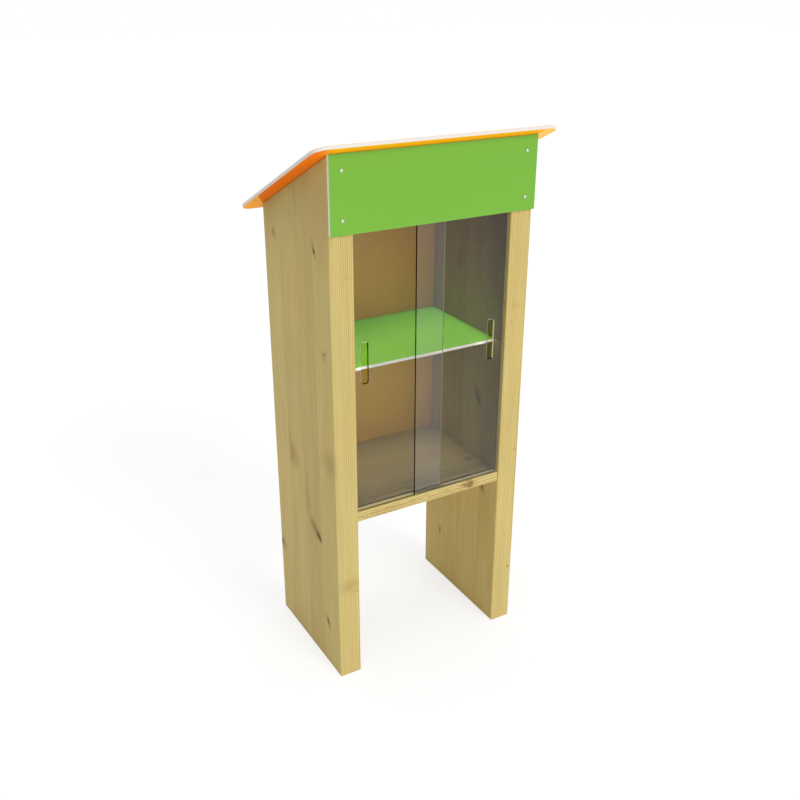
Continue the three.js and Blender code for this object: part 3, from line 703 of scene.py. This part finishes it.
def turnedBeech():
    # Beech has short dark flecks along the grain, which here runs along X
    paint = Paint("turnedBeech")
    x, y, z = paint.split(paint.place())
    fleck = paint.noise(paint.vector(x * 220.0, y * 1500.0, z * 1500.0), 1.0, 1.0)
    band = paint.noise(paint.vector(x * 8.0, y * 160.0, z * 160.0), 1.0, 2.0)
    marks = paint.smooth(fleck, 0.6, 0.72) * 0.7
    colour = paint.scaled(paint.mix(marks, metals["beech"], metals["beechFleck"]), 0.94 + band * 0.12)
    return paint.finish(
        baseColor=colour, roughness=0.6 + fleck * 0.1,
        normal=paint.bump(fleck, 0.1 * millimetre, 0.3),
    )


# Surfaces worked out on a grid

def surface(name, grid, startPole=False, endPole=False, loop=False):
    # Rows run along the form and columns round it, closed. A pole is one point, and loop joins the
    # last row to the first.
    rows, columns = grid.shape[:2]
    ring = np.arange(rows * columns).reshape(rows, columns)
    points = grid.reshape(-1, 3)
    start, end = len(points), len(points) + int(startPole)
    if startPole:
        points = np.vstack([points, grid[0].mean(axis=0)])
    if endPole:
        points = np.vstack([points, grid[-1].mean(axis=0)])
    lower = ring if loop else ring[:-1]
    upper = np.roll(ring, -1, axis=0) if loop else ring[1:]
    after = np.roll(np.stack([lower, upper]), -1, axis=2)
    quads = np.stack([lower, after[0], after[1], upper], axis=-1).reshape(-1, 4)
    faces = quads.tolist()
    if startPole:
        tip = np.full(columns, start)
        faces += np.stack([tip, np.roll(ring[0], -1), ring[0]], axis=-1).tolist()
    if endPole:
        tip = np.full(columns, end)
        faces += np.stack([tip, ring[-1], np.roll(ring[-1], -1)], axis=-1).tolist()
    mesh = bpy.data.meshes.new(name)
    mesh.from_pydata(points.tolist(), [], faces)
    mesh.shade_smooth()
    mesh.set_sharp_from_angle(angle=math.radians(38))
    piece = bpy.data.objects.new(name, mesh)
    bpy.context.scene.collection.objects.link(piece)
    return piece


def dress(piece, body, node, material):
    piece.data.materials.append(material)
    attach(piece, body)
    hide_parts(node)


# Screws

screw = {
    "columns": 48,
    "headRadius": 5 * millimetre,
    "headHeight": 3 * millimetre,
    "rimHeight": 0.45 * millimetre,  # upright wall of the head under its dome
    "recessRadius": 1.75 * millimetre,
    "recessLobe": 0.32 * millimetre,  # six lobes of the drive recess
    "recessDepth": 1.7 * millimetre,
    "recessWidths": (0.5, 0.96, 1.0, 1.04),  # shares of the recess's outline, from its floor up
    "recessDepths": (1.0, 0.94, 0.2),
    "domeRows": 12,
    "coreRadius": 1.75 * millimetre,
    "threadRadius": 2.45 * millimetre,
    "neckLength": 3 * millimetre,
    "pointLength": 5 * millimetre,
    "pitch": 2.4 * millimetre,
    "rowsInPitch": 8,
    "tipPoints": 6,  # of the CAD screw, nearest its tip
}


def screwGrid(length):
    # Radius and height over the angle: a six-lobed recess r = a + b cos 6t, a dome on an ellipse,
    # then a shank whose thread is r = core + h (1 - |2 frac(z / pitch - t / 2 pi) - 1|) ^ 1.6.
    turn = np.linspace(0, 2 * np.pi, screw["columns"], endpoint=False)
    lobed = screw["recessRadius"] + screw["recessLobe"] * np.cos(6 * turn)
    head, height, rim = screw["headRadius"], screw["headHeight"], screw["rimHeight"]

    def dome(radius):
        return rim + (height - rim) * np.sqrt(np.clip(1 - (radius / head) ** 2, 0, 1))

    radii = [lobed * share for share in screw["recessWidths"]]
    heights = [dome(0) - screw["recessDepth"] * share for share in screw["recessDepths"]]
    heights = [np.full_like(turn, one) for one in heights] + [dome(radii[-1])]
    mouth = radii[-1]
    for share in np.linspace(0.12, 0.999, screw["domeRows"]):
        radius = mouth + (head - mouth) * np.sin(share * np.pi / 2)
        radii.append(radius)
        heights.append(dome(radius))
    for radius, z in ((head, rim * 0.5), (head * 0.97, 0.0), (screw["threadRadius"], 0.0)):
        radii.append(np.full_like(turn, radius))
        heights.append(np.full_like(turn, z))
    down = np.linspace(0, length * 0.995, int(length / screw["pitch"] * screw["rowsInPitch"]))
    phase = (down[:, None] / screw["pitch"] - turn[None] / (2 * np.pi)) % 1
    ridge = (1 - np.abs(2 * phase - 1)) ** 1.6
    started = np.clip((down - screw["neckLength"]) / screw["pitch"], 0, 1)[:, None]
    taper = np.clip((length - down) / screw["pointLength"], 0, 1)[:, None]
    neck = screw["threadRadius"] * 0.9
    core = neck + (screw["coreRadius"] - neck) * started
    thread = (core + (screw["threadRadius"] - core) * ridge * started) * taper
    radius = np.vstack([np.stack(radii), thread])
    z = np.vstack([np.stack(heights), np.repeat(-down[:, None], len(turn), axis=1)])
    grid = np.stack([radius * np.cos(turn), radius * np.sin(turn), z], axis=-1)
    return grid[:, ::-1]  # the rows run down, so the columns run back for faces that point outwards


def screwWay(name):  # the way a screw runs into the work
    if name.startswith("fascia"):
        return (0, 1, 0)
    if name.startswith("back"):
        return (0, -1, 0)
    if name.startswith("roof"):
        return (0, -math.sin(roofPitch), -math.cos(roofPitch))
    if "floor_screw" in name:
        return (0, 0, 1)
    return (-1, 0, 0) if name.startswith("left") else (1, 0, 0)


def makeScrews():
    bright = zincSteel("screwZinc", metals["screwRoughness"])
    names = sorted(name for name in nodes if "screw" in name)
    for name in names:
        way = Vector(screwWay(name))
        points = nodePoints(name)
        reach = points @ np.array(way)
        length = float(reach.max() - reach.min()) - screw["headHeight"]
        middle = Vector((points.max(axis=0) + points.min(axis=0)) / 2)
        if name.startswith("roof"):
            middle = Vector(points[np.argsort(-reach)[: screw["tipPoints"]]].mean(axis=0))
        seat = float(reach.min()) + screw["headHeight"]
        place = middle + way * (seat - middle.dot(way))
        turn = way.to_track_quat("-Z", "Y").to_matrix().to_4x4()
        piece = surface(name + "_detail", screwGrid(length), startPole=True, endPole=True)
        piece.data.transform(Matrix.Translation(place) @ turn)
        dress(piece, "cabinet", name, bright)
    print("screws:", len(names))


# Dowels

dowel = {
    "columns": 96,
    "flutes": 16,
    "fluteDepth": 0.35 * millimetre,
    "chamfer": 1.5 * millimetre,
    "rows": 9,
}


def dowelGrid(radius, length):
    # r = radius - flute depth * max(0, cos(16 t)) ^ 4 along X, drawn in by a chamfer at both ends
    turn = np.linspace(0, 2 * np.pi, dowel["columns"], endpoint=False)
    body = radius - dowel["fluteDepth"] * np.clip(np.cos(dowel["flutes"] * turn), 0, 1) ** 4
    half, chamfer = length / 2, dowel["chamfer"]
    along = np.concatenate([[-half], np.linspace(-half + chamfer, half - chamfer, dowel["rows"]), [half]])
    drawnIn = np.clip(chamfer - (half - np.abs(along)), 0, chamfer)
    radii = body[None] - drawnIn[:, None]
    x = np.repeat(along[:, None], len(turn), axis=1)
    return np.stack([x, radii * np.cos(turn), radii * np.sin(turn)], axis=-1)


def makeDowels():
    beech = turnedBeech()
    names = sorted(name for name in nodes if "dowel" in name)
    for name in names:
        low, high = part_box(name)
        grid = dowelGrid((high.z - low.z) / 2, high.x - low.x)
        grid = grid + np.array((low + high) / 2)
        piece = surface(name + "_detail", grid, startPole=True, endPole=True)
        dress(piece, "cabinet", name, beech)
    print("dowels:", len(names))


# Doors

door = {
    "arris": 0.35 * millimetre,  # polished chamfer on every edge
    "cornerRadius": 4 * millimetre,
    "slotInset": 45 * millimetre,
    "slotWidth": 22 * millimetre,
    "slotLength": 124 * millimetre,
    "slotRadius": 6 * millimetre,
    "slotHeight": 1.025,  # middle of the finger slot above the ground
    "arcSteps": 10,
    "tint": linear(252, 253, 252),
    "roughness": 0.012,
    "smear": (9.0, 9.0, 5.0),  # noise cells in a metre
    "sawMarks": (900.0, 900.0, 140.0),
    "ior": 1.33,
    "glossTint": (0.6, 0.63, 0.84, 1.0),  # the painted reflection, and the light that the clear edges throw back, are a little blue
    "paintedDarkEdge": linear(12, 14, 5),
    "paintedPaleEdge": linear(228, 220, 176),
    "paintedEdgeGlow": 0.14,
    "edgeRoughness": 0.3,
    # right, top, left and bottom of the finger slot, then of the rim: 1 clear, 2 painted shade, 3 painted
    # glow
    "edgeKinds": {"left": ((2, 1, 1, 2), (3, 2, 1, 2)), "right": ((3, 1, 3, 2), (3, 2, 2, 2))},
}


def roundedLoop(centre, width, height, radius):
    # Four quarter arcs joined by straights: corner centre + radius (cos t, sin t), t from 0 to 2 pi
    steps = door["arcSteps"]
    corners = np.array([(1, 1), (-1, 1), (-1, -1), (1, -1)])
    middles = np.array(centre) + corners * (np.array([width, height]) / 2 - radius)
    turn = np.arange(4)[:, None] * np.pi / 2 + np.linspace(0, np.pi / 2, steps)[None]
    arcs = np.stack([np.cos(turn), np.sin(turn)], axis=-1) * radius
    return (middles[:, None] + arcs).reshape(-1, 2)


def doorGrid(low, high, slotCentre):
    # A plate with one hole is a ring section carried round: each row takes the slot's outline or the
    # sheet's, set back by the polished arris, at one depth in the sheet.
    arris, front, back = door["arris"], low.y, high.y

    def outer(inset):
        centre = ((low.x + high.x) / 2, (low.z + high.z) / 2)
        width, height = high.x - low.x - 2 * inset, high.z - low.z - 2 * inset
        return roundedLoop(centre, width, height, door["cornerRadius"] - inset)

    def slot(grow):
        width, height = door["slotWidth"] + 2 * grow, door["slotLength"] + 2 * grow
        return roundedLoop(slotCentre, width, height, door["slotRadius"] + grow)

    rows = [
        (slot(arris), front), (slot(0.0), front + arris), (slot(0.0), back - arris), (slot(arris), back),
        (outer(arris), back), (outer(0.0), back - arris), (outer(0.0), front + arris), (outer(arris), front),
    ]
    grid = [np.insert(outline, 1, depth, axis=1) for outline, depth in rows]
    return np.stack(grid)


def clearAcrylic(name, glow):
    # Clear cast sheet with faint smears. Where glow is 1 a painted reflection, a glow of its Fresnel
    # share of an even white studio, stands in for the mirror, and where glow is 0 it mirrors as glass does.
    paint = Paint(name)
    smear = paint.noise(paint.vectorMath("MULTIPLY", paint.place(), door["smear"]), 1.0, 4.0, 0.6)
    paintedReflection = paint.node("ShaderNodeFresnel", None, {"IOR": door["ior"]})
    paint.onlySeen()
    return paint.finish(
        baseColor=door["tint"],
        roughness=door["roughness"] + (smear - 0.45).math("MAXIMUM", 0.0) * 0.05,
        transmissionWeight=1.0,
        ior=door["ior"],
        specularTint=(0.0, 0.0, 0.0, 1.0) if glow else door["glossTint"],
        emissionColor=paint.scaled(door["glossTint"], paintedReflection * lightRays(paint)[0]),
        emissionStrength=studio["backdrop"] * glow,
    )


def polishedEdge(name, colour, glow):  # painted shade or painted glow: an edge drawn dark, or pale and glowing though it is no lamp
    paint = Paint(name)
    place = paint.place()
    saw = paint.noise(paint.vectorMath("MULTIPLY", place, door["sawMarks"]), 1.0, 2.0)
    cloud = paint.noise(paint.scaled(place, 30.0), 1.0, 2.0)
    paint.onlySeen()
    return paint.finish(
        baseColor=paint.scaled(colour, 0.8 + cloud * 0.3 + (saw - 0.5) * 0.2),
        roughness=door["edgeRoughness"] + (saw - 0.5) * 0.2,
        specularIORLevel=0.0,
        emissionColor=colour,
        emissionStrength=glow,
        normal=paint.bump(saw, 0.03 * millimetre, 0.4),
    )


def edgeSlots(side):
    # The material of every face of a door's grid, 0 on the broad faces. Rows 0 to 2 are the finger
    # slot's wall, rows 4 to 6 the sheet's rim, and a side of the outline runs from the middle of one
    # corner arc to the middle of the next.
    steps = door["arcSteps"]
    column = np.arange(4 * steps)
    outlineSide = ((column + steps // 2) // steps) % 4  # 0 right, 1 top, 2 left, 3 bottom
    slotSides, rimSides = door["edgeKinds"][side]
    slots = np.zeros((8, 4 * steps), dtype=int)
    slots[:3] = np.array(slotSides)[outlineSide]
    slots[4:7] = np.array(rimSides)[outlineSide]
    return slots.ravel()


def makeDoors():
    clear = clearAcrylic("clearAcrylic", 1.0)
    edges = [
        clearAcrylic("clearEdge", 0.0),
        polishedEdge("paintedDarkEdge", door["paintedDarkEdge"], 0.0),
        polishedEdge("paintedPaleEdge", door["paintedPaleEdge"], door["paintedEdgeGlow"]),
    ]
    for side, sign in (("left", 1), ("right", -1)):
        low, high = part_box(side + "_door")
        outerEdge = low.x if sign > 0 else high.x
        slotCentre = (outerEdge + sign * door["slotInset"], door["slotHeight"])
        piece = surface(side + "_door_sheet", doorGrid(low, high, slotCentre), loop=True)
        dress(piece, side + "_door", side + "_door", clear)
        for edge in edges:
            piece.data.materials.append(edge)
        piece.data.polygons.foreach_set("material_index", edgeSlots(side))
    print("doors: 2")


# Stage: pale floor, even sky, soft lamps

studio = {
    "skyStrength": 0.38,  # of its light on the object
    "insideShare": 0.08,  # of that light which comes in through a clear sheet
    "backdrop": 1.0,  # white, where the sky is seen
    "floorSize": 60.0,
    "floorColour": (0.96, 0.96, 0.96, 1.0),  # what lights the object from below
    "floorSeen": (0.3, 0.3, 0.3, 1.0),  # what takes the shadow
    "floorLift": 0.74,  # what makes the seen floor pale
    # strength on a face square to the lamp as a share of full light, heading to the right of
    # straight in front, rise over the floor, width of the soft disc
    "lamps": {
        "frontLamp": (0.42, 13, 32, 25),
        "lowLamp": (0.3, 5, -35, 40),
        "topLamp": (0.37, 0, 90, 50),
    },
    # soft panels inside, which stand for the light that the doors let in: brightness, centre,
    # width and depth, way they shine, spread in degrees
    "innerLamps": {
        "doorLight": (0.28, (0, -0.176, 0.985), (0.48, 0.8), (0, 1, 0), 80),
        "shelfLight": (1.05, (0, 0.002, 1.33), (0.498, 0.362), (0, 0, -1), 10),
        "shelfEdgeLight": (0.34, (0, -0.1745, 1.002), (0.49, 0.01), (0, 1, 0), 24),
        "floorLight": (0.19, (0, -0.01, 0.985), (0.47, 0.31), (0, 0, -1), 40),
    },
}


def lightRays(paint):
    # First 1 for what is seen and 0 for light on its way to a surface, then the share of that
    # light that comes in, which is less behind a clear sheet.
    names = ["Is Camera Ray", "Is Glossy Ray", "Is Transmission Ray", "Diffuse Depth"]
    camera, glossy, through, scattered = paint.node("ShaderNodeLightPath", output=names)
    seen = camera.math("MAXIMUM", glossy).math("MAXIMUM", through) * scattered.math("LESS_THAN", 0.5)
    return seen, 1.0 - through * (1.0 - studio["insideShare"])


def makeFloor():
    half = studio["floorSize"] / 2
    mesh = bpy.data.meshes.new("studioFloor")
    corners = np.array([(-1, -1, 0), (1, -1, 0), (1, 1, 0), (-1, 1, 0)]) * half
    mesh.from_pydata(corners.tolist(), [], [(0, 1, 2, 3)])
    floor = bpy.data.objects.new("studioFloor", mesh)
    bpy.context.scene.collection.objects.link(floor)
    paint = Paint("paleFloor")
    paint.onlySeen()
    seen, share = lightRays(paint)
    plain = paint.node("ShaderNodeBsdfDiffuse", None, [paint.scaled(studio["floorColour"], share)])
    pale = paint.node("ShaderNodeBsdfDiffuse", None, [studio["floorSeen"]])
    lift = paint.node("ShaderNodeEmission", None, [(1, 1, 1, 1), studio["floorLift"]])
    shown = paint.node("ShaderNodeAddShader", None, [pale, lift])
    paint.output(paint.node("ShaderNodeMixShader", None, [seen, plain, shown]))
    mesh.materials.append(paint.material)
    floor.visible_shadow = False  # the low lamp shines up through it


def makeSky():
    world = bpy.data.worlds.new("studioSky")
    bpy.context.scene.world = world
    paint = Paint(world)
    seen, share = lightRays(paint)
    light = share * studio["skyStrength"]
    strength = seen * (studio["backdrop"] - light) + light
    sky = paint.node("ShaderNodeBackground", None, [(1, 1, 1, 1), strength])
    paint.node("ShaderNodeOutputWorld", None, {"Surface": sky})


def makeLamp(name, strength, heading, rise, width):
    light = bpy.data.lights.new(name, "SUN")
    light.energy = strength * math.pi
    light.angle = math.radians(width)
    lamp = bpy.data.objects.new(name, light)
    turn, lift = math.radians(heading), math.radians(rise)
    towards = Vector((math.sin(turn) * math.cos(lift), -math.cos(turn) * math.cos(lift), math.sin(lift)))
    lamp.rotation_euler = towards.to_track_quat("Z", "Y").to_euler()
    lamp.visible_transmission = False
    bpy.context.scene.collection.objects.link(lamp)


def makeInnerLamp(name, brightness, centre, size, way, spread):
    light = bpy.data.lights.new(name, "AREA")
    light.shape = "RECTANGLE"
    light.size, light.size_y = size
    light.spread = math.radians(spread)
    light.energy = brightness * math.pi * size[0] * size[1]
    lamp = bpy.data.objects.new(name, light)
    lamp.location = centre
    lamp.rotation_euler = Vector(way).to_track_quat("-Z", "Z" if way[1] else "Y").to_euler()
    lamp.visible_camera = lamp.visible_glossy = lamp.visible_transmission = False
    bpy.context.scene.collection.objects.link(lamp)


def makeLamps():
    for name, values in studio["lamps"].items():
        makeLamp(name, *values)
    for name, values in studio["innerLamps"].items():
        makeInnerLamp(name, *values)


# Camera, where the photograph was taken from

view = {
    "place": (-1.3555, -2.3640, 2.0289),
    "heading": math.radians(30.17),  # to the right of +Y
    "fall": math.radians(24.40),
    "roll": math.radians(0.13),
    "lens": 43.07,
    "sensor": 36.0,
}


def makeCamera():
    data = bpy.data.cameras.new("photoCamera")
    data.lens = view["lens"]
    data.sensor_width = view["sensor"]
    camera = bpy.data.objects.new("photoCamera", data)
    aim = Euler((math.pi / 2 - view["fall"], 0, -view["heading"])).to_matrix()
    turn = (aim @ Matrix.Rotation(view["roll"], 3, "Z")).to_4x4()
    camera.matrix_world = Matrix.Translation(view["place"]) @ turn
    bpy.context.scene.collection.objects.link(camera)
    bpy.context.scene.camera = camera


makeCamera()
makeFloor()
makeSky()
makeLamps()
bpy.context.scene.view_settings.view_transform = "Standard"
print("studio: camera, floor, sky and lamps")
paintSidePanels()
paintCrossMembers()
print("timber: side panels, floor board and rails")
paintSheets()
print("sheets: fascia, shelf, back and roof")
for side in ("left", "right"):
    zinc = zincSteel("angleZinc" + side.title(), metals["angleRoughness"])
    paintNode(side + "_floor_angle", zinc)
print("metal: two floor angles")
makeScrews()
makeDowels()
makeDoors()
